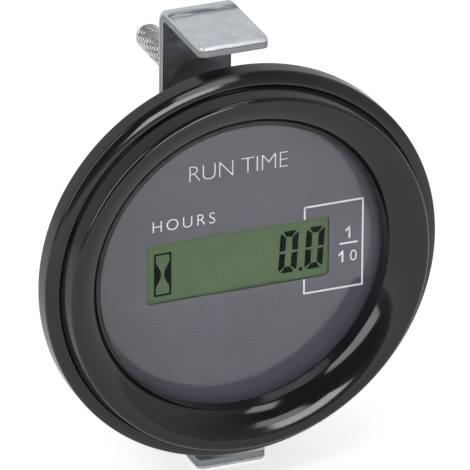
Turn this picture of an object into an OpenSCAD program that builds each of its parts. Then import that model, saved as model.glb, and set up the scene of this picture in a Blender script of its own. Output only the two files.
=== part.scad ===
// Round panel hour meter: a moulded bezel and case around a liquid crystal counter,
// held in its panel by a U-shaped steel bracket on two threaded studs.
// Millimetres. X is to the right, Y runs from the front to the rear and Z is up.
// The origin is the centre of the panel seat, the rear face of the bezel's flange.

/* [Bezel] */
// Outer diameter of the flange that covers the panel hole
flange_d = 60.3; // [58.5:0.1:64]
// Height of the flange's straight side wall
flange_side = 2.5; // [2:0.1:2.8]
// Height of the flange at the foot of the raised ring
flange_h = 3.5; // [3.2:0.1:3.9]
// Rounding of the flange's front edge
flange_round = 0.5; // [0.3:0.1:0.8]
// Bow of the flange's sloping front face
flange_bow = 0.08; // [0:0.02:0.16]
// Outer diameter of the raised ring
ring_d = 55.3; // [54.5:0.1:55.8]
// Height of the ring's front above the panel seat
ring_h = 6.8; // [6.4:0.1:7.2]
// Width of the flat land on the ring's front
ring_land = 0.75; // [0.5:0.05:1]
// Rounding of the ring's outer front edge
ring_round = 0.7; // [0.4:0.05:0.9]
// How much the ring's outer wall spreads from its front to its foot
ring_draft = 0.55; // [0.3:0.05:0.6]
// Rounding where the land turns into the inner slope
slope_round = 1; // [0.6:0.05:1.2]
// Width and depth of the groove around the ring's foot
foot_groove = 0.12; // [0.06:0.02:0.3]
// Opening of the lip around the window
lip_d = 44.4; // [43.8:0.1:44.8]
// Height of the lip above the panel seat
lip_h = 4.3; // [4:0.1:4.6]
// Rounding of the lip
lip_round = 0.25; // [0.15:0.05:0.35]
// Bow of the inner slope between the lip and the land
slope_bow = 0.4; // [0.2:0.05:0.5]
// Width of the lip's nose that covers the window seal
nose_w = 0.4; // [0.3:0.05:0.5]
// Outer diameter of the spigot that enters the panel hole
spigot_d = 51.8; // [51:0.1:52.2]
// Chamfer at the spigot's rear edge
spigot_chamfer = 0.3; // [0.1:0.1:0.6]
// Bore of the bezel, which takes the window, dial, holder and board
bore_d = 48.3; // [47.8:0.1:48.8]

/* [Window and dial] */
// Height of the window's front face above the panel seat
window_h = 1.9; // [1.7:0.1:2.1]
// Thickness of the window
window_t = 0.6; // [0.5:0.1:0.9]
// Thickness of the window seal
seal_t = 0.5; // [0.3:0.1:0.7]
// Thickness of the dial plate
dial_t = 0.5; // [0.3:0.1:0.8]
// Width of the dial's cut-out for the display
view_w = 28.2; // [24:0.2:30]
// Height of the dial's cut-out for the display
view_h = 9.4; // [8:0.2:10.4]
// Corner radius of the cut-out
view_r = 0.8; // [0.4:0.1:1.5]

/* [Display cell] */
// Width of both glasses
glass_w = 34; // [31:0.5:35]
// Height of the front glass, whose ledges carry the contacts
front_glass_h = 17; // [16:0.2:19]
// Height of the rear glass
rear_glass_h = 12; // [11:0.2:13]
// Thickness of each glass
glass_t = 0.7; // [0.5:0.1:1.1]
// Thickness of the reflector film
film_t = 0.2; // [0.1:0.05:0.4]
// Length of the rubber contact strips
zebra_l = 30; // [26:0.5:31]
// Width of the rubber contact strips
zebra_w = 1.4; // [1:0.1:1.6]
// Thickness of the holder behind the reflector
web_t = 1.9; // [1.4:0.1:3]

/* [Board] */
// Thickness of the circuit board
board_t = 1.2; // [0.8:0.1:1.6]
// Distance of the board screws from the axis
screw_x = 19.6; // [19.2:0.1:19.8]
// Diameter of the board screws
screw_d = 1.9; // [1.6:0.1:2.2]
// Length of the board screws under the head
screw_l = 4; // [3:0.1:4.4]
// Diameter of the screw heads
screw_head_d = 3.6; // [3:0.1:3.8]
// Height of the screw heads
screw_head_h = 1.2; // [0.8:0.1:1.4]

/* [Rear case] */
// Length of the case's plug inside the bezel
plug_l = 2.1; // [1.8:0.1:4]
// Thickness of the case's rim, which is welded to the spigot
rim_t = 1; // [0.8:0.1:1.6]
// How far the rim stays inside the spigot's outline
rim_inset = 0.7; // [0.4:0.1:1]
// How far the case's body is stepped in from its plug
body_step = 0.6; // [0.3:0.1:1]
// Length of the case's body behind the rim
body_l = 2; // [1.6:0.1:4]
// Rounding of the body's rear edge
body_round = 0.8; // [0.4:0.1:1.2]
// Wall thickness of the case
case_wall = 1.5; // [1.2:0.1:1.8]
// Diameter of the stud bosses
boss_d = 8.8; // [7.5:0.1:9.2]
// Height of the stud bosses above the rear wall
boss_h = 5.8; // [5.6:0.1:8]
// Thickness of the boss ribs
rib_t = 1.4; // [0.8:0.1:2]
// Length of the boss ribs
rib_l = 3.2; // [2:0.1:3.6]
// Height of the boss ribs where they start
rib_h = 2.6; // [1.5:0.1:4]

/* [Studs and bracket] */
// Distance between the two studs
stud_spacing = 41.2; // [40:0.2:42]
// Outer diameter of the stud thread
stud_d = 3.9; // [3.4:0.1:4.4]
// Length of stud behind the bosses
stud_out = 19.5; // [15:0.5:30]
// Depth of stud inside each boss
stud_in = 5.4; // [4:0.1:5.6]
// Width of the bracket strip
strip_w = 10.7; // [9.6:0.1:14]
// Thickness of the bracket strip
strip_t = 1.7; // [1.2:0.1:2]
// Length of the bracket legs in front of its plate
leg_l = 14.5; // [10:0.25:14.75]
// Gap between the flange's outline and the bracket legs
leg_gap = 1.75; // [0.5:0.05:4]
// Inner bend radius of the bracket
bend_r = 1; // [0.5:0.1:2]
// Corner radius at the leg ends
leg_corner = 1; // [0.3:0.1:2]
// Across flats of the nuts
nut_af = 7; // [6:0.1:8]
// Height of the nuts
nut_h = 3.2; // [2.2:0.1:4]
// Outer diameter of the lock washers
washer_d = 7.6; // [6.6:0.1:9]
// Thickness of the lock washers
washer_t = 0.9; // [0.6:0.1:1.2]
// Width of the split in the lock washers
washer_split = 0.7; // [0.4:0.1:1.2]

/* [Terminals] */
// Distance between the two blades
blade_spacing = 24; // [21:0.5:26]
// Width of the blades
blade_w = 6.3; // [4.8:0.1:6.3]
// Thickness of the blades
blade_t = 0.8; // [0.5:0.1:1]
// Length of the blades behind the case
blade_l = 8; // [6:0.2:10]
// Width of the blade's shoulder inside the case
shoulder_w = 8.3; // [7.2:0.1:9]
// Length of the blade's shoulder
shoulder_l = 1.2; // [0.8:0.1:2]
// Width of the blade's solder tail
tail_w = 1.2; // [0.8:0.1:1.3]
// Diameter of the hole near the blade's tip
tip_hole_d = 1.7; // [1.2:0.1:2]

/* [Clearances] */
// Radial play of the discs in the bore
disc_play = 0.15; // [0.05:0.05:0.3]
// Radial play of the case's plug in the bore
plug_play = 0.1; // [0.05:0.05:0.2]
// Play of the glasses and contact strips in the holder
cell_play = 0.1; // [0.05:0.05:0.2]
// Radial play of the studs in their bosses
stud_play = 0.02; // [0.01:0.01:0.05]
// Radial play of the nuts on the studs
nut_play = 0.05; // [0.02:0.01:0.1]
// Radial play of the bracket holes around the studs
hole_play = 0.3; // [0.2:0.05:0.6]
// Radial play of the lock washers around the studs
washer_play = 0.15; // [0.1:0.05:0.3]
// Play of the blades in the case's slots
slot_play = 0.05; // [0.02:0.01:0.15]
// Radial play of screws and tails in the board
board_play = 0.15; // [0.1:0.05:0.3]
// Play between parts that only lie on each other
lay_play = 0.05; // [0.02:0.01:0.1]

/* [Hidden] */
$fn = 96;
cut = 1;
arc_steps = 8;

// Depths from the window to the stud ends, each from the one before it
y_window = -window_h;
y_dial = y_window + window_t;
y_glass = y_dial + dial_t;
y_rear_glass = y_glass + glass_t;
y_film = y_rear_glass + glass_t;
y_web = y_film + film_t;
y_board = y_web + web_t;
y_board_rear = y_board + board_t;
y_rim = y_board_rear + plug_l;
y_body = y_rim + rim_t;
y_case = y_body + body_l;
y_floor = y_case - case_wall;
y_plate = y_case + boss_h;
y_plate_rear = y_plate + strip_t;
y_nut = y_plate_rear + washer_t;
y_stud_root = y_plate - stud_in;
y_leg_end = y_plate - leg_l;

// Radii
flange_r = flange_d / 2;
ring_r = ring_d / 2;
lip_r = lip_d / 2;
spigot_r = spigot_d / 2;
bore_r = bore_d / 2;
disc_r = bore_r - disc_play;
plug_r = bore_r - plug_play;
body_r = plug_r - body_step;
cavity_r = body_r - case_wall;
rim_r = spigot_r - rim_inset;
stud_r = stud_d / 2;
stud_z = stud_spacing / 2;

// Bracket
leg_in = flange_r + leg_gap;
bend_y = y_plate - bend_r;
bend_z = leg_in - bend_r;

// Centre lines of the contact strips, on the ledges of the front glass
zebra_z = (rear_glass_h + front_glass_h) / 4;

// Sizes and places of the pieces on the board, as seen from the front
cap_r = 4;
cap_h = 1.2;
cap_at = [0, 4];
chip_size = [3.9, 1.4, 4.9];
chip_at = [-7.5, -8.5];
lead_w = 0.4;
lead_t = 0.2;
lead_reach = 1;
lead_pitch = 1.27;
leads_a_side = 4;
crystal_r = 1;
crystal_l = 6;
crystal_at = [6, -9];
crystal_rim_t = 0.5;
crystal_rim_r = 1.15;
capacitor_r = 2;
capacitor_h = 2.4;
capacitor_base = [4.3, 0.6, 4.3];
capacitor_at = [8.5, 9];
diode_size = [4.2, 1.9, 2.6];
diode_tab = [5.2, 0.3, 1.4];
diode_at = [-8, 9];
diode_step = 4;
diodes = 2;
resistor_size = [2, 0.5, 1.25];
resistor_at = [0, -14.5];
resistor_step = 3.2;
resistors = 5;
screw_slot = [0.5, 0.5];

// Smaller features
head_round = 0.4;
nut_face = 0.95;
nut_chamfer_angle = 30;
stud_chamfer = 0.5;
blade_chamfer = 0.9;
tip_hole_from_tip = 3.6;
pilot_extra = 0.4;

function arc(c, r, a0, a1, steps = arc_steps) =
    [for (i = [0:steps]) let (a = a0 + (a1 - a0) * i / steps) [c[0] + r * cos(a), c[1] + r * sin(a)]];

// Direction of the normal of the line that touches two circles on their left
function tangent_angle(c1, r1, c2, r2) =
    let (d = c2 - c1) atan2(d[1], d[0]) + acos((r1 - r2) / norm(d));

// Points between two ends, bowed out to the left of the way by the given rise
function bow(p, q, rise, steps = arc_steps) =
    let (d = q - p, n = [-d[1], d[0]] / norm(d))
    [for (i = [1:steps - 1]) let (t = i / steps) p + d * t + n * rise * 4 * t * (1 - t)];

// Turns a profile of radius and height about the meter's axis, with height towards the front
module turned(points) {
    rotate([90, 0, 0])
        rotate_extrude()
            polygon(points);
}

// A cylinder along the depth, from its front face
module disc(r, y, t, x = 0, z = 0) {
    translate([x, y, z])
        rotate([-90, 0, 0])
            cylinder(r = r, h = t);
}

// A flat outline, drawn as seen from the front, from its front face
module plate(y, t) {
    translate([0, y + t, 0])
        rotate([90, 0, 0])
            linear_extrude(height = t)
                children();
}

// A block centred on the axis in X and Z, from its front face
module block(w, h, y, t, x = 0, z = 0) {
    translate([x - w / 2, y, z - h / 2])
        cube([w, t, h]);
}

module rounded_rect(w, h, r) {
    square([w - 2 * r, h], center = true);
    square([w, h - 2 * r], center = true);
    for (x = [-1, 1], y = [-1, 1])
        translate([x * (w / 2 - r), y * (h / 2 - r)])
            circle(r = r);
}

module bezel() {
    lip_c = [lip_r + lip_round, lip_h - lip_round];
    slope_c = [ring_r - ring_round - ring_land, ring_h - slope_round];
    ring_c = [ring_r - ring_round, ring_h - ring_round];
    edge_c = [flange_r - flange_round, flange_side];
    wall_end = [ring_r + ring_draft, flange_h - foot_groove];
    wall = wall_end - ring_c;
    wall_a = atan2(wall[1], wall[0]) + acos(ring_round / norm(wall));
    foot = wall_end + [foot_groove, foot_groove];
    slope_a = tangent_angle(lip_c, lip_round, slope_c, slope_round);
    slope_turn = atan(4 * slope_bow / norm(slope_c - lip_c));
    lip = arc(lip_c, lip_round, 180, slope_a + slope_turn);
    land = arc(slope_c, slope_round, slope_a - slope_turn, 90);
    face = foot - edge_c;
    edge_a = atan2(face[1], face[0]) - acos(flange_round / norm(face));
    edge = arc(edge_c, flange_round, edge_a, 0);
    color("#1c1c20")
        turned(concat(
            [[bore_r, -y_rim], [bore_r, window_h + seal_t], [lip_r + nose_w, window_h + seal_t],
             [lip_r + nose_w, window_h + lay_play], [lip_r, window_h + lay_play]],
            lip,
            bow(lip[arc_steps], land[0], slope_bow),
            land,
            arc(ring_c, ring_round, 90, wall_a),
            [wall_end, foot],
            bow(foot, edge[0], flange_bow),
            edge,
            [[flange_r, 0], [spigot_r, 0], [spigot_r, spigot_chamfer - y_rim],
             [spigot_r - spigot_chamfer, -y_rim]]));
}

module lens_seal() {
    color("#161616")
        difference() {
            disc(disc_r, y_window - seal_t, seal_t);
            disc(lip_r + nose_w + lay_play, y_window - seal_t - cut, seal_t + 2 * cut);
        }
}

module window_lens() {
    color("#dfe6e8", 0.35)
        disc(disc_r, y_window, window_t);
}

module dial_plate() {
    color("#686970")
        difference() {
            disc(disc_r, y_dial, dial_t);
            plate(y_dial - cut, dial_t + 2 * cut)
                rounded_rect(view_w, view_h, view_r);
        }
}

module lcd_front_glass() {
    color("#627a58")
        block(glass_w, front_glass_h, y_glass, glass_t);
}

module lcd_rear_glass() {
    color("#6d8562")
        block(glass_w, rear_glass_h, y_rear_glass, glass_t);
}

module lcd_reflector() {
    color("#b9bfb4")
        block(glass_w, rear_glass_h, y_film, film_t);
}

module lcd_holder() {
    pocket_w = glass_w + 2 * cell_play;
    slot_w = zebra_l + 2 * cell_play;
    pilot_r = screw_d / 2 + stud_play;
    pilot_y = y_board_rear - screw_l - pilot_extra;
    color("#e4e2da")
        difference() {
            disc(disc_r, y_glass, y_board - y_glass);
            block(pocket_w, front_glass_h + 2 * cell_play, y_glass - cut, glass_t + cut);
            block(pocket_w, rear_glass_h + 2 * cell_play, y_glass, y_web - y_glass);
            for (s = [-1, 1]) {
                block(slot_w, zebra_w + 2 * cell_play, y_glass, y_board - y_glass + cut, z = s * zebra_z);
                disc(pilot_r, pilot_y, y_board - pilot_y + cut, x = s * screw_x);
            }
        }
}

module zebra_strips() {
    color("#9a9a94")
        for (s = [-1, 1])
            block(zebra_l, zebra_w, y_rear_glass, y_board - y_rear_glass, z = s * zebra_z);
}

module circuit_board() {
    tail_hole_r = norm([tail_w, blade_t]) / 2 + board_play;
    color("#2f5a3a")
        difference() {
            disc(disc_r, y_board, board_t);
            for (s = [-1, 1]) {
                disc(screw_d / 2 + board_play, y_board - cut, board_t + 2 * cut, x = s * screw_x);
                disc(tail_hole_r, y_board - cut, board_t + 2 * cut, x = s * blade_spacing / 2);
            }
        }
}

// Resin dome over the counter chip
module controller_cap() {
    ball_r = (cap_r * cap_r + cap_h * cap_h) / (2 * cap_h);
    color("#141414")
        intersection() {
            translate([cap_at[0], y_board_rear + cap_h - ball_r, cap_at[1]])
                sphere(r = ball_r);
            block(2 * cap_r + cut, 2 * cap_r + cut, y_board_rear, cap_h + cut, cap_at[0], cap_at[1]);
        }
}

module memory_chip() {
    lead_at = (leads_a_side - 1) / 2;
    color("#222226") {
        block(chip_size[0], chip_size[2], y_board_rear + lead_t, chip_size[1], chip_at[0], chip_at[1]);
        for (s = [-1, 1], i = [0:leads_a_side - 1]) {
            z = chip_at[1] + (i - lead_at) * lead_pitch;
            x = chip_at[0] + s * (chip_size[0] + lead_reach) / 2;
            block(lead_reach, lead_w, y_board_rear, lead_t, x, z);
            block(lead_t, lead_w, y_board_rear, chip_size[1] / 2, x - s * (lead_reach - lead_t) / 2, z);
        }
    }
}

// Quartz crystal in its drawn metal can
module crystal_can() {
    color("#c8c8c4")
        translate([crystal_at[0] - crystal_l / 2, y_board_rear + crystal_rim_r + lay_play, crystal_at[1]])
            rotate([0, 90, 0]) {
                cylinder(r = crystal_r, h = crystal_l);
                cylinder(r = crystal_rim_r, h = crystal_rim_t);
            }
}

module storage_capacitor() {
    x = capacitor_at[0];
    z = capacitor_at[1];
    color("#2a2a30")
        block(capacitor_base[0], capacitor_base[2], y_board_rear, capacitor_base[1], x, z);
    color("#c9ccd0")
        disc(capacitor_r, y_board_rear + capacitor_base[1], capacitor_h, x, z);
}

module rectifier_diodes() {
    color("#1a1a1c")
        for (i = [0:diodes - 1]) {
            z = diode_at[1] + i * diode_step;
            block(diode_size[0], diode_size[2], y_board_rear, diode_size[1], diode_at[0], z);
            block(diode_tab[0], diode_tab[2], y_board_rear, diode_tab[1], diode_at[0], z);
        }
}

module chip_resistors() {
    color("#26262a")
        for (i = [0:resistors - 1]) {
            x = resistor_at[0] + (i - (resistors - 1) / 2) * resistor_step;
            block(resistor_size[0], resistor_size[2], y_board_rear, resistor_size[1], x, resistor_at[1]);
        }
}

module board_screws() {
    r = screw_head_d / 2;
    top = y_board_rear + screw_head_h;
    dome = arc([r - head_round, screw_head_h - head_round], head_round, 0, 90);
    color("#b8bcc0")
        for (s = [-1, 1])
            difference() {
                union() {
                    translate([s * screw_x, y_board_rear, 0])
                        rotate([-90, 0, 0])
                            rotate_extrude()
                                polygon(concat([[0, 0], [r, 0]], dome, [[0, screw_head_h]]));
                    disc(screw_d / 2, y_board_rear - screw_l, screw_l, x = s * screw_x);
                }
                block(2 * r, screw_slot[0], top - screw_slot[1], screw_slot[1] + cut, x = s * screw_x);
            }
}

module rear_case() {
    round_c = [body_r - body_round, body_round - y_case];
    blind_r = stud_r + stud_play;
    slot_w = blade_w + 2 * slot_play;
    slot_t = blade_t + 2 * slot_play;
    rib_z = stud_z - boss_d / 2;
    color("#1e1e22")
        difference() {
            union() {
                turned(concat(
                    [[0, -y_floor], [cavity_r, -y_floor], [cavity_r, -y_board_rear], [plug_r, -y_board_rear],
                     [plug_r, -y_rim], [rim_r, -y_rim], [rim_r, -y_body], [body_r, -y_body]],
                    arc(round_c, body_round, 0, -90),
                    [[0, -y_case]]));
                for (s = [-1, 1]) {
                    disc(boss_d / 2, y_rim, y_plate - y_rim, z = s * stud_z);
                    mirror([0, 0, s < 0 ? 1 : 0])
                        translate([-rib_t / 2, y_case - lay_play, rib_z])
                            rotate([0, 90, 0])
                                linear_extrude(height = rib_t)
                                    polygon([[rib_l, 0], [rib_l, lay_play], [0, rib_h], [-cut, rib_h], [-cut, 0]]);
                }
            }
            disc(cavity_r, y_board_rear - cut, y_floor - y_board_rear + cut);
            for (s = [-1, 1]) {
                disc(blind_r, y_stud_root, stud_in + cut, z = s * stud_z);
                block(slot_t, slot_w, y_floor - cut, case_wall + 2 * cut, x = s * blade_spacing / 2);
            }
        }
}

module clamp_studs() {
    l = stud_in + stud_out;
    color("#d4d6d4")
        for (s = [-1, 1])
            translate([0, y_stud_root, s * stud_z])
                rotate([-90, 0, 0])
                    rotate_extrude()
                        polygon([[0, 0], [stud_r, 0], [stud_r, l - stud_chamfer],
                                 [stud_r - stud_chamfer, l], [0, l]]);
}

// Tab terminal: a solder tail in the board, a shoulder behind the rear wall and a blade outside
module blade(x) {
    y_tip = y_case + blade_l;
    y_shoulder = y_floor - shoulder_l;
    half = [[y_board, tail_w / 2], [y_shoulder, tail_w / 2], [y_shoulder, shoulder_w / 2],
            [y_floor, shoulder_w / 2], [y_floor, blade_w / 2], [y_tip - blade_chamfer, blade_w / 2],
            [y_tip, blade_w / 2 - blade_chamfer]];
    other = [for (i = [len(half) - 1:-1:0]) [half[i][0], -half[i][1]]];
    color("#c9c3b0")
        difference() {
            translate([x - blade_t / 2, 0, 0])
                rotate([90, 0, 90])
                    linear_extrude(height = blade_t)
                        polygon(concat(half, other));
            translate([x - blade_t, y_tip - tip_hole_from_tip, 0])
                rotate([0, 90, 0])
                    cylinder(r = tip_hole_d / 2, h = 2 * blade_t);
        }
}

module left_terminal() {
    blade(-blade_spacing / 2);
}

module right_terminal() {
    blade(blade_spacing / 2);
}

// Flat outline of one leg, with its free end at the front
module leg_outline() {
    w = strip_w / 2;
    translate([-w, y_leg_end + leg_corner])
        square([strip_w, bend_y - y_leg_end - leg_corner]);
    translate([leg_corner - w, y_leg_end])
        square([strip_w - 2 * leg_corner, 2 * leg_corner]);
    for (s = [-1, 1])
        translate([s * (w - leg_corner), y_leg_end + leg_corner])
            circle(r = leg_corner);
}

// Steel strip folded to a U: a plate across the studs and two legs that press on the panel
module clamp_bracket() {
    color("#b4bac0")
        difference() {
            union() {
                block(strip_w, 2 * bend_z, y_plate, strip_t);
                for (s = [0, 1])
                    mirror([0, 0, s]) {
                        translate([0, 0, leg_in])
                            linear_extrude(height = strip_t)
                                leg_outline();
                        translate([0, bend_y, bend_z])
                            rotate([90, 0, 90])
                                rotate_extrude(angle = 90)
                                    translate([bend_r, -strip_w / 2])
                                        square([strip_t, strip_w]);
                    }
            }
            for (s = [-1, 1])
                disc(stud_r + hole_play, y_plate - cut, strip_t + 2 * cut, z = s * stud_z);
        }
}

module lock_washers() {
    color("#c2c6c8")
        for (s = [-1, 1])
            difference() {
                disc(washer_d / 2, y_plate_rear, washer_t, z = s * stud_z);
                disc(stud_r + washer_play, y_plate_rear - cut, washer_t + 2 * cut, z = s * stud_z);
                block(washer_d, washer_split, y_plate_rear - cut, washer_t + 2 * cut, washer_d / 2, s * stud_z);
            }
}

// Hexagon nut with both faces chamfered, flats to the left and right
module nut(z) {
    corner_r = nut_af / 2 / cos(30);
    face_r = nut_face * nut_af / 2;
    c = (corner_r - face_r) * tan(nut_chamfer_angle);
    color("#c6cacc")
        translate([0, y_nut, z])
            rotate([-90, 0, 0])
                difference() {
                    intersection() {
                        rotate([0, 0, 30])
                            cylinder(r = corner_r, h = nut_h, $fn = 6);
                        rotate_extrude()
                            polygon([[0, 0], [face_r, 0], [corner_r, c], [corner_r, nut_h - c],
                                     [face_r, nut_h], [0, nut_h]]);
                    }
                    translate([0, 0, -cut])
                        cylinder(r = stud_r + nut_play, h = nut_h + 2 * cut);
                }
}

module upper_nut() {
    nut(stud_z);
}

module lower_nut() {
    nut(-stud_z);
}

bezel();
lens_seal();
window_lens();
dial_plate();
lcd_front_glass();
lcd_rear_glass();
lcd_reflector();
lcd_holder();
zebra_strips();
circuit_board();
controller_cap();
memory_chip();
crystal_can();
storage_capacitor();
rectifier_diodes();
chip_resistors();
board_screws();
rear_case();
clamp_studs();
left_terminal();
right_terminal();
clamp_bracket();
lock_washers();
upper_nut();
lower_nut();
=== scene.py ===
from math import acos, atan, atan2, copysign, cos, degrees, dist, hypot, pi, radians, sin, tan

import bmesh
import bpy
from mathutils import Matrix, Vector
from mathutils.geometry import tessellate_polygon


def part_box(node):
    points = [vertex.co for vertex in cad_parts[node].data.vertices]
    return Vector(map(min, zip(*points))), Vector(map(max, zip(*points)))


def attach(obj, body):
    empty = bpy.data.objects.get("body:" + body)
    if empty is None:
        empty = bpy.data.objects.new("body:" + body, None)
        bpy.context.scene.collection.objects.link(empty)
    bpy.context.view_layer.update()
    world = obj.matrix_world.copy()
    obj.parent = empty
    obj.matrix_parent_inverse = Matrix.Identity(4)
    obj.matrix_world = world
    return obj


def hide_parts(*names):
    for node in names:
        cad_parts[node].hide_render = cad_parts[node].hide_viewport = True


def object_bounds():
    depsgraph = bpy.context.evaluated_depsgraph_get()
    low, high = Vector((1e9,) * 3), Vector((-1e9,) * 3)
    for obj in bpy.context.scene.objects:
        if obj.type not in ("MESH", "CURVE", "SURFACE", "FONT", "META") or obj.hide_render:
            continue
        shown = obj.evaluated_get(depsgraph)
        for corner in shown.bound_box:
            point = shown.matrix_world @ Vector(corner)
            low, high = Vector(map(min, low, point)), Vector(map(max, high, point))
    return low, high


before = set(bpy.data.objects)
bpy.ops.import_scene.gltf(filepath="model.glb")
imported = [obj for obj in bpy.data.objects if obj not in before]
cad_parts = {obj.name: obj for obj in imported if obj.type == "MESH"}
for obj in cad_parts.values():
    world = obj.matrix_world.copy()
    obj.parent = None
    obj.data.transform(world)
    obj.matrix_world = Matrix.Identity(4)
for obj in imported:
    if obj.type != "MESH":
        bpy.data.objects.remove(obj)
cad_low, cad_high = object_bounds()
mm = 0.001

# Bezel
# The meter's front shell: flange, raised ring, funnel-shaped slope and lip in one piece.
# It is injection moulded ABS from a polished mould, deep black, glossy and faintly wavy.


def linear(hex_colour):
    """An sRGB hex colour as the linear RGBA values that shaders take."""
    channels = [int(hex_colour[i:i + 2], 16) / 255 for i in (1, 3, 5)]
    return [c / 12.92 if c <= 0.04045 else ((c + 0.055) / 1.055) ** 2.4 for c in channels] + [1.0]


def feed(node, inputs):
    """Gives a node's inputs, by name or number, a value, a hex colour, or a link from an output or a node."""
    for name, value in inputs.items():
        if isinstance(value, bpy.types.Node):
            value = next(output for output in value.outputs if output.enabled)
        if isinstance(value, bpy.types.NodeSocket):
            node.id_data.links.new(value, node.inputs[name])
        else:
            node.inputs[name].default_value = linear(value) if isinstance(value, str) else value


def add(tree, kind, inputs=None, **settings):
    """Adds a node with its settings, and feeds its inputs."""
    made = tree.nodes.new(kind)
    for name, value in settings.items():
        setattr(made, name, value)
    feed(made, inputs or {})
    return made


def new_material(name):
    """A material with its node tree, its Principled shader and its Object coordinates."""
    made = bpy.data.materials.new(name)
    made.use_nodes = True
    tree = made.node_tree
    return made, tree, tree.nodes["Principled BSDF"], add(tree, "ShaderNodeTexCoord").outputs["Object"]


def arc(centre, radius, start, end, steps=10):
    """Points of a round stretch of a profile, from one angle to another in degrees."""
    angles = [radians(start + (end - start) * i / steps) for i in range(steps + 1)]
    return [(centre[0] + radius * cos(a), centre[1] + radius * sin(a)) for a in angles]


def tangent_angle(c1, r1, c2, r2):
    """The direction of the normal of the line that touches two circles on their left, in degrees."""
    dx, dy = c2[0] - c1[0], c2[1] - c1[1]
    return degrees(atan2(dy, dx) + acos((r1 - r2) / hypot(dx, dy)))


def bowed(start, end, rise, steps=16):
    """Points between two ends of a profile, bowed out to the left of the way."""
    run = (end[0] - start[0], end[1] - start[1])
    points = []
    for i in range(1, steps):
        along = i / steps
        out = rise * 4 * along * (1 - along) / hypot(*run)
        points.append((start[0] + run[0] * along - run[1] * out, start[1] + run[1] * along + run[0] * out))
    return points


def bridge(shape, rings):
    """Fills the skin between each ring of corners and the next one."""
    for here, after in zip(rings, rings[1:]):
        for i in range(len(here)):
            j = (i + 1) % len(here)
            shape.faces.new((here[i], here[j], after[j], after[i]))


def turned(shape, section, turn, axis_z):
    """Corners of a section of (radius, height), turned about an axis along Y, with height towards the front."""
    return [shape.verts.new((r * cos(turn), -h, r * sin(turn) + axis_z)) for r, h in section]


def lathe(profile, segments=256, axis_z=0.0):
    """Turns a closed profile all round."""
    shape = bmesh.new()
    rings = [turned(shape, profile, 2 * pi * step / segments, axis_z) for step in range(segments)]
    bridge(shape, rings + rings[:1])
    return closed_mesh(shape)


def closed_mesh(shape):
    """Merges a shape's doubles, turns its faces outwards and makes it a mesh."""
    bmesh.ops.remove_doubles(shape, verts=shape.verts, dist=1e-7)
    bmesh.ops.dissolve_degenerate(shape, edges=shape.edges, dist=1e-8)
    bmesh.ops.recalc_face_normals(shape, faces=shape.faces)
    mesh = bpy.data.meshes.new("closed")
    shape.to_mesh(mesh)
    shape.free()
    return mesh


def in_scene(name, data):
    """Puts a mesh, curve, lamp or camera into the scene as an object."""
    made = bpy.data.objects.new(name, data)
    bpy.context.scene.collection.objects.link(made)
    return made


def piece(name, mesh, materials, body, replaced=(), sharp=30):
    """Puts a finished mesh into the scene as a piece of a body, smooth up to an edge angle."""
    mesh.name = name
    made = in_scene(name, mesh)
    # Clearing an empty list would still set every face back to the first material
    if mesh.materials:
        mesh.materials.clear()
    for material in materials:
        mesh.materials.append(material)
    mesh.polygons.foreach_set("use_smooth", [True] * len(mesh.polygons))
    mesh.set_sharp_from_angle(angle=radians(sharp))
    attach(made, body)
    if replaced:
        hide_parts(*replaced)


bezel_low, bezel_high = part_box("bezel")
lens_low, lens_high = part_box("window_lens")
flange_r = bezel_high.x
flange_side, flange_h, flange_round, flange_bow = 2.5 * mm, 3.5 * mm, 0.5 * mm, 0.08 * mm
ring_r, ring_land, ring_round, ring_draft, slope_round = 27.65 * mm, 0.75 * mm, 0.7 * mm, 0.55 * mm, 1.0 * mm
ring_h = -bezel_low.y
foot_groove = 0.12 * mm
lip_r, lip_h, lip_round, nose_w, slope_bow = 22.2 * mm, 4.3 * mm, 0.25 * mm, 0.4 * mm, 0.4 * mm
spigot_r, spigot_chamfer, bore_r = 25.9 * mm, 0.3 * mm, 24.15 * mm
nose_gap = 0.05 * mm
nose_h = -lens_low.y + nose_gap
seal_seat = -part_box("lens_seal")[0].y
lip_c = (lip_r + lip_round, lip_h - lip_round)
slope_c = (ring_r - ring_round - ring_land, ring_h - slope_round)
ring_c = (ring_r - ring_round, ring_h - ring_round)
edge_c = (flange_r - flange_round, flange_side)
wall_end = (ring_r + ring_draft, flange_h - foot_groove)
wall = (wall_end[0] - ring_c[0], wall_end[1] - ring_c[1])
wall_a = degrees(atan2(wall[1], wall[0]) + acos(ring_round / hypot(*wall)))
foot = (wall_end[0] + foot_groove, flange_h)
slope_a = tangent_angle(lip_c, lip_round, slope_c, slope_round)
slope_turn = degrees(atan(4 * slope_bow / dist(slope_c, lip_c)))
lip = arc(lip_c, lip_round, 180, slope_a + slope_turn)
land = arc(slope_c, slope_round, slope_a - slope_turn, 90)
face = (foot[0] - edge_c[0], foot[1] - edge_c[1])
edge_turn = degrees(atan2(face[1], face[0]) - acos(flange_round / hypot(*face)))
edge = arc(edge_c, flange_round, edge_turn, 0)
bezel_profile = (
    [(bore_r, -bezel_high.y), (bore_r, seal_seat), (lip_r + nose_w, seal_seat), (lip_r + nose_w, nose_h),
     (lip_r, nose_h)]
    + lip + bowed(lip[-1], land[0], slope_bow) + land
    + arc(ring_c, ring_round, 90, wall_a)
    + [wall_end, foot]
    + bowed(foot, edge[0], flange_bow) + edge
    + [(flange_r, 0), (spigot_r, 0), (spigot_r, spigot_chamfer - bezel_high.y),
       (spigot_r - spigot_chamfer, -bezel_high.y)])

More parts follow.
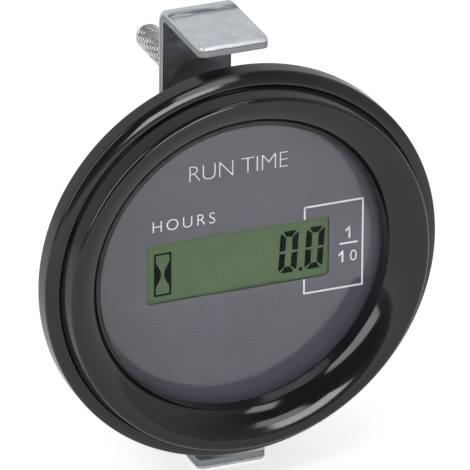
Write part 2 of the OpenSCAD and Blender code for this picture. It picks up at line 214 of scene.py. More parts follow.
# Gloss ABS: a black that mirrors soft lights, with the mould's slight unevenness and handling haze.
gloss_abs, tree, shader, spot = new_material("gloss_black_abs_moulded")
sink = add(tree, "ShaderNodeTexNoise", {"Vector": spot, "Scale": 1 / (7 * mm), "Detail": 2.0})
haze = add(tree, "ShaderNodeTexNoise", {"Vector": spot, "Scale": 1 / (2.2 * mm), "Detail": 6.0, "Roughness": 0.6})
gloss = add(tree, "ShaderNodeMapRange", {"Value": haze, "From Min": 0.3, "From Max": 0.75,
                                         "To Min": 0.06, "To Max": 0.15})
wave = add(tree, "ShaderNodeBump", {"Strength": 0.15, "Distance": 0.06 * mm, "Height": sink})
tint = add(tree, "ShaderNodeMix", {"Factor": haze, 6: "#0a0a0b", 7: "#101012"}, data_type="RGBA")
feed(shader, {"Base Color": tint, "Roughness": gloss, "Normal": wave, "IOR": 1.53})

piece("bezel_shell", lathe(bezel_profile), [gloss_abs], "meter", ["bezel"])

# Window seal
# A flat ring punched from black rubber sheet, squeezed between the lip and the window.
# It is hidden behind the lip's nose and keeps dust and water out of the dial.


def dress(material, *nodes):
    """Gives CAD nodes that keep their own shape a material."""
    for name in nodes:
        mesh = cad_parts[name].data
        mesh.materials.clear()
        mesh.materials.append(material)


def mottled_material(name, grain, detail, dark, light, roughness, metallic=0.0, specular=0.5):
    """A material whose colour wavers between two tones, in spots of a grain size."""
    made, tree, shader, spot = new_material(name)
    spots = add(tree, "ShaderNodeTexNoise", {"Vector": spot, "Scale": 1 / grain, "Detail": detail})
    tint = add(tree, "ShaderNodeMix", {"Factor": spots, 6: dark, 7: light}, data_type="RGBA")
    feed(shader, {"Base Color": tint, "Roughness": roughness, "Metallic": metallic, "Specular IOR Level": specular})
    return made


# Rubber sheet: a dull black with the fine grain of its filler.
seal_rubber = mottled_material("black_rubber_punched", 0.3 * mm, 3.0, "#0c0c0c", "#1c1c1c", roughness=0.8)
dress(seal_rubber, "lens_seal")

# Window
# A thin clear disc of cast acrylic behind the lip, pressed against the seal by the stack behind it.
# It lies a paper's thickness in front of the dial's print.
# Acrylic: clear and bright, with faint smears from wiping. Its IOR is matched to the object, below the usual
# 1.49, because the display behind it shows its full black with no glare over it.
acrylic, tree, shader, spot = new_material("clear_acrylic_polished")
wipe = add(tree, "ShaderNodeTexNoise", {"Vector": spot, "Scale": 1 / (9 * mm), "Detail": 4.0})
smear = add(tree, "ShaderNodeMapRange", {"Value": wipe, "From Min": 0.4, "From Max": 0.7,
                                         "To Min": 0.0, "To Max": 0.05})
feed(shader, {"Base Color": "#f6f6f6", "Roughness": smear, "Transmission Weight": 1.0, "IOR": 1.15})
# Lamps shine through the window as they do through real acrylic
path = add(tree, "ShaderNodeLightPath")
clear = add(tree, "ShaderNodeBsdfTransparent", {"Color": "#f2f4f4"})
through = add(tree, "ShaderNodeMixShader", {0: path.outputs["Is Shadow Ray"], 1: shader, 2: clear})
feed(tree.nodes["Material Output"], {"Surface": through})

print_gap = 0.1 * mm
lens_edge = 0.15 * mm
lens_front, lens_rear = -lens_low.y, -(lens_high.y - print_gap)
lens_r = lens_high.x
lens_profile = [(0, lens_front), (lens_r - lens_edge, lens_front), (lens_r, lens_front - lens_edge),
                (lens_r, lens_rear + lens_edge), (lens_r - lens_edge, lens_rear), (0, lens_rear)]
piece("window_disc", lathe(lens_profile, 128), [acrylic], "meter", ["window_lens"])

# Dial plate
# A thin plate behind the window, screen printed in grey, with a cut-out for the display.
# Its cut-out has the slightly rounded edge that the punch leaves.


def inset(loop, depth):
    """Moves a closed outline inwards by a depth; a hole's outline, which runs the other way, grows."""
    moved = []
    for before, here, after in zip(loop[-1:] + loop[:-1], loop, loop[1:] + loop[:1]):
        to_here = (Vector(here) - Vector(before)).normalized()
        from_here = (Vector(after) - Vector(here)).normalized()
        n1, n2 = Vector((-to_here.y, to_here.x)), Vector((-from_here.y, from_here.x))
        shift = (n1 + n2) * depth / (1 + n1.dot(n2))
        moved.append((here[0] + shift.x, here[1] + shift.y))
    return moved


def plate(loops, levels):
    """A flat plate from an outline and its holes. Levels are (height, inset) from one face to the other."""
    shape = bmesh.new()
    rows = []
    for height, depth in levels:
        rows.append([[shape.verts.new((x, y, height)) for x, y in inset(loop, depth)] for loop in loops])
    for low, high in zip(rows, rows[1:]):
        for below, above in zip(low, high):
            bridge(shape, [below, above])
    for row in (rows[0], rows[-1]):
        flat = [corner for loop in row for corner in loop]
        for triangle in tessellate_polygon([[corner.co for corner in loop] for loop in row]):
            shape.faces.new([flat[i] for i in triangle])
    bmesh.ops.recalc_face_normals(shape, faces=shape.faces)
    return shape


def rolled_edge(thickness, depth, shares):
    """Levels of a plate's edge that curls in at its face, from shares of its depth: (below the face, inset)."""
    return [(thickness - below * depth, into * depth) for below, into in shares]


def rounded_rectangle(w, h, r, steps=8):
    """An outline with round corners, anticlockwise about the origin."""
    corners = ((1, 1, 0), (-1, 1, 90), (-1, -1, 180), (1, -1, 270))
    return [point for sx, sy, start in corners
            for point in arc((sx * (w / 2 - r), sy * (h / 2 - r)), r, start, start + 90, steps)]


def circle(r, steps=96):
    """A round outline, anticlockwise about the origin."""
    return [(r * cos(2 * pi * i / steps), r * sin(2 * pi * i / steps)) for i in range(steps)]


def stood_up(shape, y):
    """Closes a flat drawing and stands it up at a depth of the dial, facing the front."""
    mesh = closed_mesh(shape)
    mesh.transform(Matrix.Translation((0, y, 0)) @ Matrix.Rotation(pi / 2, 4, "X"))
    return mesh


dial_low, dial_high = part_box("dial_plate")
dial_t = dial_high.y - dial_low.y
view_w, view_h, view_r = 28.2 * mm, 9.4 * mm, 0.8 * mm
punch_round = 0.08 * mm
dial_levels = [(0, 0)] + rolled_edge(dial_t, punch_round, ((1, 0), (0.3, 0.3), (0, 1)))
dial_shape = plate([circle(dial_high.x), rounded_rectangle(view_w, view_h, view_r)[::-1]], dial_levels)

# Screen print ink under a gloss varnish: a dark grey that mirrors the pale table, the fine mottle of the
# mesh it was pressed through, and a few specks of dust that were closed in with it.
dial_ink, tree, shader, spot = new_material("grey_dial_ink_screen_printed")
dust_spacing, dust_r = 3.2 * mm, 0.1 * mm
mottle = add(tree, "ShaderNodeTexNoise", {"Vector": spot, "Scale": 1 / (0.35 * mm), "Detail": 4.0})
cloud = add(tree, "ShaderNodeTexNoise", {"Vector": spot, "Scale": 1 / (11 * mm), "Detail": 2.0})
blot = add(tree, "ShaderNodeMath", {0: mottle, 1: cloud}, operation="MULTIPLY")
spread = add(tree, "ShaderNodeMapRange", {"Value": blot, "From Min": 0.1, "From Max": 0.45})
tint = add(tree, "ShaderNodeMix", {"Factor": spread, 6: "#4d4c56", 7: "#55545e"}, data_type="RGBA")
dust = add(tree, "ShaderNodeTexVoronoi", {"Vector": spot, "Scale": 1 / dust_spacing})
fleck = add(tree, "ShaderNodeMapRange", {"Value": dust, "From Min": 0.5 * dust_r / dust_spacing,
                                         "From Max": dust_r / dust_spacing, "To Min": 0.5, "To Max": 0.0})
dusty = add(tree, "ShaderNodeMix", {"Factor": fleck, 6: tint, 7: "#b4b5ba"}, data_type="RGBA")
tooth = add(tree, "ShaderNodeBump", {"Strength": 0.15, "Distance": 0.01 * mm, "Height": mottle})
feed(shader, {"Base Color": dusty, "Normal": tooth, "Roughness": 0.1, "Specular IOR Level": 1.0})
piece("dial_sheet", stood_up(dial_shape, dial_high.y), [dial_ink], "meter", ["dial_plate"])

# Dial print
# White ink on the grey: a general heading, the unit above the display, and the frame of the tenths figure.
# It is screen printed in one pass, a few hundredths of a millimetre thick.
ink_t = 0.02 * mm
line_w, pen_w = 0.25 * mm, 0.2 * mm
# White ink: matt, a little uneven where the mesh of the screen let less of it through.
white_ink = mottled_material("white_dial_ink_screen_printed", 0.25 * mm, 3.0, "#d9dbe0", "#eceef2", roughness=0.55)

# The font's capitals are this share of its size, and their stems this share of the capitals
capital_share, stem_share = 0.729, 0.145
print_shape = bmesh.new()


def join(whole, shape):
    """Adds a finished shape to a larger one."""
    spare = bpy.data.meshes.new("spare")
    shape.to_mesh(spare)
    shape.free()
    whole.from_mesh(spare)
    bpy.data.meshes.remove(spare)


def print_line(x0, z0, x1, z1):
    """A straight printed line between two points of the dial, with square ends."""
    run = Vector((x1 - x0, z1 - z0)).normalized() * line_w / 2
    side = Vector((-run.y, run.x))
    start, end = Vector((x0, z0)) - run, Vector((x1, z1)) + run
    outline = [start - side, end - side, end + side, start + side]
    join(print_shape, plate([[tuple(p) for p in outline]], [(0, 0), (ink_t, 0)]))


def finished_mesh(made):
    """What an object comes to, with its curves or modifiers worked out, as a plain mesh."""
    return bpy.data.meshes.new_from_object(made.evaluated_get(bpy.context.evaluated_depsgraph_get()))


def print_words(words, height, x, z, width):
    """Capital letters or figures of a height, centred at x on a base line, spaced out to a width."""
    curve = bpy.data.curves.new("words", "FONT")
    curve.body = words
    curve.size = height / capital_share
    curve.offset = (pen_w - stem_share * height) / 2
    curve.extrude = ink_t / 2
    made = in_scene("words", curve)
    spans = []
    for spacing in (1.0, 1.5):
        curve.space_character = spacing
        bpy.context.view_layer.update()
        spans.append(made.dimensions.x)
    if len(words) > 1:
        curve.space_character = 1 + 0.5 * (width - spans[0]) / (spans[1] - spans[0])
    bpy.context.view_layer.update()
    mesh = finished_mesh(made)
    xs = [v.co.x for v in mesh.vertices]
    mesh.transform(Matrix.Translation((x - (min(xs) + max(xs)) / 2, z, ink_t / 2)))
    print_shape.from_mesh(mesh)
    bpy.data.meshes.remove(mesh)
    bpy.data.objects.remove(made)
    bpy.data.curves.remove(curve)


def print_one(x, z, height):
    """The figure one: a stem with a flag."""
    flag_reach, flag_foot = 0.3 * height, 0.68 * height
    print_line(x, z, x, z + height)
    print_line(x, z + height, x - flag_reach, z + flag_foot)


print_words("RUN TIME", height=2.7 * mm, x=0, z=13.65 * mm, width=15.2 * mm)
print_words("HOURS", height=1.85 * mm, x=-8.4 * mm, z=6.65 * mm, width=9.6 * mm)
# The fraction beside the display: one over ten, with its bar
print_one(x=17.25 * mm, z=0.8 * mm, height=1.7 * mm)
print_one(x=16.2 * mm, z=-2.9 * mm, height=1.6 * mm)
print_words("0", height=1.8 * mm, x=17.9 * mm, z=-3.0 * mm, width=1.5 * mm)
bar_left, bar_right, bar_z = 15.85 * mm, 18.4 * mm, -0.05 * mm
print_line(bar_left, bar_z, bar_right, bar_z)
# The frame round the tenths, open where the display's cut-out crosses it
box_left, box_right, box_low, box_top = 10.25 * mm, 19.3 * mm, -7.0 * mm, 6.65 * mm
cut_out_gap = 0.05 * mm
cut_out_edge = view_h / 2 + line_w / 2 + cut_out_gap
print_line(box_left, box_top, box_right, box_top)
print_line(box_right, box_top, box_right, box_low)
print_line(box_right, box_low, box_left, box_low)
print_line(box_left, box_low, box_left, -cut_out_edge)
print_line(box_left, cut_out_edge, box_left, box_top)
piece("dial_lettering", stood_up(print_shape, dial_low.y), [white_ink], "meter")

# Display cell
# Two glasses with the liquid crystal between them, polariser film on the front and a reflector behind.
# The film gives the matt grey green; the cell is clipped into the holder behind the dial's cut-out.
# Polariser film: matt grey green, faintly streaked along the way it was stretched.
film, tree, shader, spot = new_material("green_polariser_film_on_glass")
streak = add(tree, "ShaderNodeTexNoise", {"Vector": spot, "Scale": 1 / (5 * mm), "Detail": 3.0})
speck = add(tree, "ShaderNodeTexNoise", {"Vector": spot, "Scale": 1 / (0.2 * mm), "Detail": 2.0})
blend_in = add(tree, "ShaderNodeMath", {0: streak, 1: speck}, operation="ADD")
spread = add(tree, "ShaderNodeMapRange", {"Value": blend_in, "From Min": 0.7, "From Max": 1.3})
tint = add(tree, "ShaderNodeMix", {"Factor": spread, 6: "#4f6546", 7: "#5a6e4f"}, data_type="RGBA")
feed(shader, {"Base Color": tint, "Roughness": 0.4, "Specular IOR Level": 0.3})
dress(film, "lcd_front_glass", "lcd_rear_glass")

# Metallised film: a grey sparkle from the embossing that spreads the light.
reflector = mottled_material("metallised_film_embossed", 0.15 * mm, 2.0, "#a9aea6", "#c6cac2", roughness=0.5,
                             metallic=0.8)
dress(reflector, "lcd_reflector")

# Display segments
# The liquid crystal's driven shapes: two zero figures with a point between them and a run sign.
# They are etched electrodes, so they have crisp edges, small gaps and a slight forward lean.
glass_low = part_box("lcd_front_glass")[0]
segment_t = 0.02 * mm
digit_w, digit_h, stroke, gap, waist_gap = 2.95 * mm, 6.7 * mm, 1.03 * mm, 0.1 * mm, 0.2 * mm
digit_z, lean = -0.15 * mm, tan(radians(3.5))
corner_cut = 0.3 * mm
digit_places = (8.0 * mm, 12.05 * mm)
point_x, point_size, point_round = 10.1 * mm, 0.55 * mm, 0.12 * mm
sign_x, sign_z, sign_w, sign_h, sign_line = -11.45 * mm, -0.4 * mm, 2.7 * mm, 6.8 * mm, 0.32 * mm
sign_round, sign_inner_round = 0.1 * mm, 0.05 * mm
neck_w, bulb_end, waist_steps = 0.45 * mm, 0.44, 16
# The dark beside the hourglass runs a little way into the sign's frame
overlap = 0.3 * sign_line

segments_shape = bmesh.new()


def etch(loops):
    """Adds a flat shape to the driven segments."""
    join(segments_shape, plate(loops, [(0, 0), (segment_t, 0)]))


def zero_segments():
    """Outlines of a zero's six segments about the figure's centre: a quarter of it, mirrored."""
    w, h, c, s = digit_w / 2, digit_h / 2, corner_cut, stroke
    side = [(w, waist_gap / 2), (w, h - 2 * c), (w - 0.4 * c, h - c), (w - s, h - s), (w - s, waist_gap)]
    cap = [(w - 1.4 * c, h - 0.4 * c), (w - 2.2 * c, h), (-w + 2.2 * c, h), (-w + 1.4 * c, h - 0.4 * c),
           (-w + s, h - s), (w - s, h - s)]
    outlines = [cap, [(-x, -z) for x, z in cap]]
    outlines += [side, [(-x, -z) for x, z in side]]
    outlines += [[(-x, z) for x, z in side][::-1], [(x, -z) for x, z in side][::-1]]
    return [inset(outline, gap / 2) for outline in outlines]


for place in digit_places:
    for outline in zero_segments():
        etch([[(x + place + lean * z, z + digit_z) for x, z in outline]])
point_z = digit_z - digit_h / 2 + point_size / 2
point = rounded_rectangle(point_size, point_size, point_round)
etch([[(point_x + lean * point_z + x, point_z + z) for x, z in point]])
sign_outer = rounded_rectangle(sign_w, sign_h, sign_round)
sign_inner = rounded_rectangle(sign_w - 2 * sign_line, sign_h - 2 * sign_line, sign_inner_round)[::-1]
etch([[(x + sign_x, z + sign_z) for x, z in loop] for loop in (sign_outer, sign_inner)])
# Each side shape is the dark beside the hourglass: widest at its neck, gone at its bulbs
waist = []
for i in range(waist_steps + 1):
    t = 2 * i / waist_steps - 1
    reach = (sign_w - neck_w) / 2 * (1 + cos(pi * t)) / 2
    waist.append((reach, t * bulb_end * sign_h))
for side in (-1, 1):
    wall = side * (sign_w / 2 - overlap)
    outline = [(sign_x + wall - side * (reach - overlap), sign_z + z) for reach, z in waist[1:-1]]
    outline += [(sign_x + wall, sign_z + waist[-1][1]), (sign_x + wall, sign_z + waist[0][1])]
    etch([outline if side < 0 else outline[::-1]])

# Driven crystal: almost black, with hardly any shine because it lies inside the glass.
crystal = mottled_material("dark_liquid_crystal_driven", 0.5 * mm, 2.0, "#020402", "#060a07", roughness=0.5,
                           specular=0.05)
piece("driven_segments", stood_up(segments_shape, glass_low.y), [crystal], "meter")

# Holder, contact strips and board
# The moulded holder carries the cell, the layered rubber strips join it to the board behind.
# The board and its pieces are soldered and screwed together and closed in by the case.
# White ABS: a warm, even white with the slight cloud of its flow into the mould.
holder_white = mottled_material("white_abs_moulded", 4 * mm, 3.0, "#dcdad1", "#e8e6de", roughness=0.5)
dress(holder_white, "lcd_holder")

# Layered silicone: fine stripes of conducting black and insulating pale rubber.
layers, tree, shader, spot = new_material("layered_silicone_contact")
layer_pitch = 0.2 * mm
stack = add(tree, "ShaderNodeTexWave", {"Vector": spot, "Scale": 0.314 / layer_pitch, "Distortion": 0.0})
tint = add(tree, "ShaderNodeMix", {"Factor": stack, 6: "#2c2c2a", 7: "#bdbdb5"}, data_type="RGBA")
feed(shader, {"Base Color": tint, "Roughness": 0.7})
dress(layers, "zebra_strips")

# Solder resist: a glossy green lacquer through which the laminate's weave shows.
resist = mottled_material("green_solder_resist_on_laminate", 0.6 * mm, 3.0, "#1f4a2c", "#2f6640", roughness=0.35)
dress(resist, "circuit_board")

# Moulded epoxy: a dull black, grainy from its glass filler.
resin = mottled_material("black_epoxy_moulded", 0.2 * mm, 4.0, "#121214", "#242428", roughness=0.55)
dress(resin, "controller_cap", "memory_chip", "rectifier_diodes", "chip_resistors")

# Drawn aluminium: bright grey, softly marked by the drawing die.
can_metal = mottled_material("drawn_aluminium_can", 0.4 * mm, 3.0, "#b9bcc0", "#d5d7da", roughness=0.3,
                             metallic=1.0)
dress(can_metal, "crystal_can", "storage_capacitor")

# Rear case
# The cup that closes the meter from behind, welded to the spigot, with two tall bosses for the studs.
# It is moulded ABS from an eroded mould, satin black; the blades come out through slots in its floor.
case_low, case_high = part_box("rear_case")
stud_low, stud_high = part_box("clamp_studs")
blade_low, blade_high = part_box("right_terminal")
stud_r = stud_high.x
stud_z = stud_high.z - stud_r
plug_r, body_r, cavity_r, rim_r = 24.05 * mm, 23.45 * mm, 21.95 * mm, 25.2 * mm
rim_front, rim_rear, floor_in, floor_out = 6.0 * mm, 7.0 * mm, 7.5 * mm, 9.0 * mm
body_round, rim_round, boss_r, boss_round = 0.8 * mm, 0.25 * mm, 4.4 * mm, 0.3 * mm
rib_w, rib_l, rib_h, rib_into_boss, rib_into_floor = 1.4 * mm, 3.2 * mm, 2.6 * mm, 1.0 * mm, 0.5 * mm
blade_slot_w, blade_slot_t, blade_slot_l, bore_gap = 6.4 * mm, 0.9 * mm, 2.0 * mm, 0.02 * mm
blade_x = (blade_low.x + blade_high.x) / 2
case_profile = (
    [(0, -floor_in), (cavity_r, -floor_in), (cavity_r, -case_low.y), (plug_r, -case_low.y), (plug_r, -rim_front)]
    + arc((rim_r - rim_round, -rim_front - rim_round), rim_round, 90, 0)
    + arc((rim_r - rim_round, -rim_rear + rim_round), rim_round, 0, -90)
    + [(body_r, -rim_rear)]
    + arc((body_r - body_round, body_round - floor_out), body_round, 0, -90)
    + [(0, -floor_out)])
stud_bore_r = stud_r + bore_gap
boss_profile = (
    [(0, -rim_rear), (boss_r, -rim_rear)]
    + arc((boss_r - boss_round, boss_round - case_high.y), boss_round, 0, -90)
    + [(0, -case_high.y)])
bore_profile = [(0, -stud_low.y), (stud_bore_r, -stud_low.y), (stud_bore_r, -case_high.y - rib_w),
                (0, -case_high.y - rib_w)]


def block(low, high):
    """A rectangular block between two corners."""
    shape = bmesh.new()
    bmesh.ops.create_cube(shape, size=1)
    centre, size = (Vector(low) + Vector(high)) / 2, Vector(high) - Vector(low)
    bmesh.ops.transform(shape, matrix=Matrix.Translation(centre) @ Matrix.Diagonal(size.to_4d()), verts=shape.verts)
    return closed_mesh(shape)


def carve(base, steps):
    """Joins meshes to a base mesh, or cuts them out of it, one after the other."""
    body = in_scene("base", base)
    tools = []
    for operation, mesh in steps:
        tool = in_scene("tool", mesh)
        modifier = body.modifiers.new("step", "BOOLEAN")
        modifier.operation, modifier.object, modifier.solver = operation, tool, "EXACT"
        tools.append(tool)
    result = finished_mesh(body)
    for spare in tools + [body]:
        bpy.data.objects.remove(spare)
    return result


def boss_rib(side):
    """A rib that leans against a boss and runs out towards the centre of the case."""
    shape = bmesh.new()
    root = stud_z - boss_r
    held, sunk = root + rib_into_boss, floor_out - rib_into_floor
    corners = [(root - rib_l, floor_out), (root, floor_out + rib_h), (held, floor_out + rib_h), (held, sunk),
               (root - rib_l, sunk)]
    rows = [[shape.verts.new((x, y, side * z)) for z, y in corners] for x in (-rib_w / 2, rib_w / 2)]
    shape.faces.new(rows[0])
    shape.faces.new(rows[1])
    bridge(shape, rows)
    return closed_mesh(shape)


case_steps = []
for side in (-1, 1):
    case_steps.append(("UNION", lathe(boss_profile, 64, side * stud_z)))
    case_steps.append(("UNION", boss_rib(side)))
for side in (-1, 1):
    case_steps.append(("DIFFERENCE", lathe(bore_profile, 64, side * stud_z)))
    slot_half = Vector((blade_slot_t, blade_slot_l, blade_slot_w)) / 2
    slot_at = Vector((side * blade_x, (floor_in + floor_out) / 2, 0))
    case_steps.append(("DIFFERENCE", block(slot_at - slot_half, slot_at + slot_half)))
case_mesh = carve(lathe(case_profile, 192), case_steps)

# Satin ABS: a soft black whose fine spark-eroded pits break up the shine.
satin_abs, tree, shader, spot = new_material("satin_black_abs_eroded_mould")
spark = add(tree, "ShaderNodeTexNoise", {"Vector": spot, "Scale": 1 / (0.18 * mm), "Detail": 4.0})
patch = add(tree, "ShaderNodeTexNoise", {"Vector": spot, "Scale": 1 / (6 * mm), "Detail": 3.0})
tint = add(tree, "ShaderNodeMix", {"Factor": patch, 6: "#141416", 7: "#1f1f22"}, data_type="RGBA")
rough = add(tree, "ShaderNodeMapRange", {"Value": spark, "To Min": 0.38, "To Max": 0.6})
pits = add(tree, "ShaderNodeBump", {"Strength": 0.35, "Distance": 0.03 * mm, "Height": spark})
feed(shader, {"Base Color": tint, "Roughness": rough, "Normal": pits})
piece("case_shell", case_mesh, [satin_abs], "meter", ["rear_case"])

# Terminals
# Two flat blades stamped from tinned brass strip, with a hole that snaps into a push-on receptacle.
# Each is soldered to the board by its tail and held by its shoulder behind the case's floor.
# Tinned brass: a warm pale metal, drawn out in fine lines along the rolled strip.
tinned, tree, shader, spot = new_material("tinned_brass_stamped")
rolled = add(tree, "ShaderNodeMapping", {"Vector": spot, "Scale": (1, 0.08, 1)})
line = add(tree, "ShaderNodeTexNoise", {"Vector": rolled, "Scale": 1 / (0.12 * mm), "Detail": 3.0})
tint = add(tree, "ShaderNodeMix", {"Factor": line, 6: "#b9b3a2", 7: "#dcd8cb"}, data_type="RGBA")
dull = add(tree, "ShaderNodeMapRange", {"Value": line, "To Min": 0.22, "To Max": 0.42})
feed(shader, {"Base Color": tint, "Roughness": dull, "Metallic": 1.0})
blade_tip = blade_high.y
shoulder_w, shoulder_l, tail_w, blade_w = 8.3 * mm, 1.2 * mm, 1.2 * mm, 6.3 * mm
blade_chamfer, tip_hole_r, tip_hole_from_tip = 0.9 * mm, 0.85 * mm, 3.6 * mm
blade_t, coin_edge = 0.8 * mm, 0.08 * mm
half = [(blade_low.y, -tail_w / 2), (floor_in - shoulder_l, -tail_w / 2), (floor_in - shoulder_l, -shoulder_w / 2),
        (floor_in, -shoulder_w / 2), (floor_in, -blade_w / 2), (blade_tip - blade_chamfer, -blade_w / 2),
        (blade_tip, -blade_w / 2 + blade_chamfer)]
blade_outline = half + [(y, -z) for y, z in reversed(half)]
hole_outline = [(blade_tip - tip_hole_from_tip + y, z) for y, z in circle(tip_hole_r, 32)][::-1]
blade_levels = [(0, coin_edge), (coin_edge, 0), (blade_t - coin_edge, 0), (blade_t, coin_edge)]
for name, side in (("left_terminal", -1), ("right_terminal", 1)):
    blade_mesh = closed_mesh(plate([blade_outline, hole_outline], blade_levels))
    sideways = Matrix(((0, 0, 1, side * blade_x - blade_t / 2), (1, 0, 0, 0), (0, 1, 0, 0), (0, 0, 0, 1)))
    blade_mesh.transform(sideways)
    piece(name + "_blade", blade_mesh, [tinned], "meter", [name])

# Studs
# Two threaded studs moulded into the bosses, which pull the bracket up to the panel.
# They are rolled M4 steel rod with bright zinc plating, so the thread's crests and roots are a little flat.

# Bright zinc: a pale metal with soft reflections, with a painted shade of darker grey in the thread's roots. Those
# are told by their distance from the stud's axis; further in, the stud's end is left without the painted shade.
thread_depth = 0.42 * mm
zinc_bright, tree, shader, spot = new_material("bright_zinc_plated_steel_rolled")
plating = add(tree, "ShaderNodeTexNoise", {"Vector": spot, "Scale": 1 / (0.5 * mm), "Detail": 5.0})
tint = add(tree, "ShaderNodeMix", {"Factor": plating, 6: "#cfd1cf", 7: "#efefed"}, data_type="RGBA")
dull = add(tree, "ShaderNodeMapRange", {"Value": plating, "To Min": 0.2, "To Max": 0.36})
place = add(tree, "ShaderNodeSeparateXYZ", {0: spot})
off_middle = add(tree, "ShaderNodeMath", {0: place.outputs["Z"]}, operation="ABSOLUTE")
off_axis = add(tree, "ShaderNodeMath", {0: off_middle, 1: stud_z}, operation="SUBTRACT")
across = add(tree, "ShaderNodeCombineXYZ", {"X": place.outputs["X"], "Z": off_axis})
reach = add(tree, "ShaderNodeVectorMath", {0: across}, operation="LENGTH")
# Painted shade: the colour turns darker grey where the radius falls towards the thread's roots
crest = add(tree, "ShaderNodeMapRange", {"Value": reach, "From Min": stud_r - 0.9 * thread_depth,
                                         "From Max": stud_r - 0.15 * thread_depth})
core = add(tree, "ShaderNodeMapRange", {"Value": reach, "From Min": stud_r - 1.2 * thread_depth,
                                        "From Max": stud_r - 1.05 * thread_depth, "To Min": 1.0, "To Max": 0.0})
bright = add(tree, "ShaderNodeMath", {0: crest, 1: core}, operation="MAXIMUM")
painted_root_shade_tint = add(tree, "ShaderNodeMix", {"Factor": bright, 6: "#8d9092", 7: tint}, data_type="RGBA")
feed(shader, {"Base Color": painted_root_shade_tint, "Roughness": dull, "Metallic": 1.0})

group = bpy.data.node_groups.new("rolled_thread", "GeometryNodeTree")
group.interface.new_socket("Geometry", in_out="OUTPUT", socket_type="NodeSocketGeometry")
thread_inputs = {"Root": stud_low.y, "Length": stud_high.y - stud_low.y, "Crest Radius": stud_r,
                 "Thread Depth": thread_depth, "Pitch": 0.7 * mm, "Tip Chamfer": 0.45 * mm, "Stud Height": stud_z}
thread_sockets = {}
for name in thread_inputs:
    made = group.interface.new_socket(name, in_out="INPUT", socket_type="NodeSocketFloat")
    thread_sockets[name] = made.identifier
material_socket = group.interface.new_socket("Material", in_out="INPUT", socket_type="NodeSocketMaterial")
given = add(group, "NodeGroupInput").outputs
around, rows = 48, 400
grid = add(group, "GeometryNodeMeshGrid", {"Size X": 1.0, "Size Y": 1.0, "Vertices X": rows,
                                           "Vertices Y": around + 1})
split = add(group, "ShaderNodeSeparateXYZ", {0: add(group, "GeometryNodeInputPosition").outputs[0]})
crest_flat, flank_slope, root_flat, root_blend, first_row = 0.16, 1.45, 0.98, 0.12, 0.0001
known = {"grid x": split.outputs["X"], "grid y": split.outputs["Y"]}
known.update((name, given[name]) for name in thread_inputs)
# The thread's arithmetic: each step's name, what it does, and the known values or numbers that it takes
thread_steps = (
    ("run", "ADD", "grid x", 0.5),
    ("turn", "ADD", "grid y", 0.5),
    ("along", "MULTIPLY", "run", "Length"),
    ("pitches", "DIVIDE", "along", "Pitch"),
    ("twist", "SUBTRACT", "pitches", "turn"),
    ("phase", "FRACT", "twist"),
    # A triangle wave whose crests and roots are cut flat
    ("double phase", "MULTIPLY", "phase", 2.0),
    ("swing", "SUBTRACT", "double phase", 1.0),
    ("wave", "ABSOLUTE", "swing"),
    ("past crest", "SUBTRACT", "wave", crest_flat),
    ("slope", "MULTIPLY", "past crest", flank_slope),
    ("below crest", "MAXIMUM", "slope", 0.0),
    ("above root", "MINIMUM", "below crest", 1.0),
    ("flank", "SMOOTH_MIN", "above root", root_flat, root_blend),
    ("cut", "MULTIPLY", "flank", "Thread Depth"),
    ("threaded", "SUBTRACT", "Crest Radius", "cut"),
    # The tip's chamfer limits the radius
    ("to tip", "SUBTRACT", "Length", "along"),
    ("tip radius", "SUBTRACT", "Crest Radius", "Tip Chamfer"),
    ("tip limit", "ADD", "tip radius", "to tip"),
    ("rod radius", "MINIMUM", "threaded", "tip limit"),
    # The last row at each end closes on the axis
    ("past root", "GREATER_THAN", "run", first_row),
    ("before tip", "LESS_THAN", "run", 1 - first_row),
    ("between", "MULTIPLY", "past root", "before tip"),
    ("radius", "MULTIPLY", "rod radius", "between"),
    ("angle", "MULTIPLY", "turn", 2 * pi),
    ("sine", "SINE", "angle"),
    ("cosine", "COSINE", "angle"),
    ("x", "MULTIPLY", "radius", "sine"),
    ("y", "ADD", "along", "Root"),
    ("z", "MULTIPLY", "radius", "cosine"),
    ("down", "MULTIPLY", "Stud Height", -2.0),
)
for name, operation, *terms in thread_steps:
    taken = {i: known.get(term, term) for i, term in enumerate(terms)}
    known[name] = add(group, "ShaderNodeMath", taken, operation=operation).outputs[0]
corner = add(group, "ShaderNodeCombineXYZ", {"X": known["x"], "Y": known["y"], "Z": known["z"]})
wound = add(group, "GeometryNodeSetPosition", {"Geometry": grid, "Position": corner})
rod = add(group, "GeometryNodeMergeByDistance", {"Geometry": wound, "Distance": 1e-6})
top = add(group, "ShaderNodeCombineXYZ", {"Z": given["Stud Height"]})
step_down = add(group, "ShaderNodeCombineXYZ", {"Z": known["down"]})
pair = add(group, "GeometryNodeMeshLine", {"Count": 2, "Start Location": top, "Offset": step_down})
both = add(group, "GeometryNodeInstanceOnPoints", {"Points": pair, "Instance": rod})
real = add(group, "GeometryNodeRealizeInstances", {"Geometry": both})
plated = add(group, "GeometryNodeSetMaterial", {"Geometry": real, "Material": given["Material"]})
add(group, "NodeGroupOutput", {"Geometry": plated})

stud_maker = in_scene("stud_maker", bpy.data.meshes.new("stud_maker"))
maker = stud_maker.modifiers.new("thread", "NODES")
maker.node_group = group
for name, value in thread_inputs.items():
    maker[thread_sockets[name]] = value
maker[material_socket.identifier] = zinc_bright
stud_raw = finished_mesh(stud_maker)
bpy.data.objects.remove(stud_maker)
stud_shape = bmesh.new()
stud_shape.from_mesh(stud_raw)
piece("threaded_studs", closed_mesh(stud_shape), [zinc_bright], "meter", ["clamp_studs"], sharp=40)

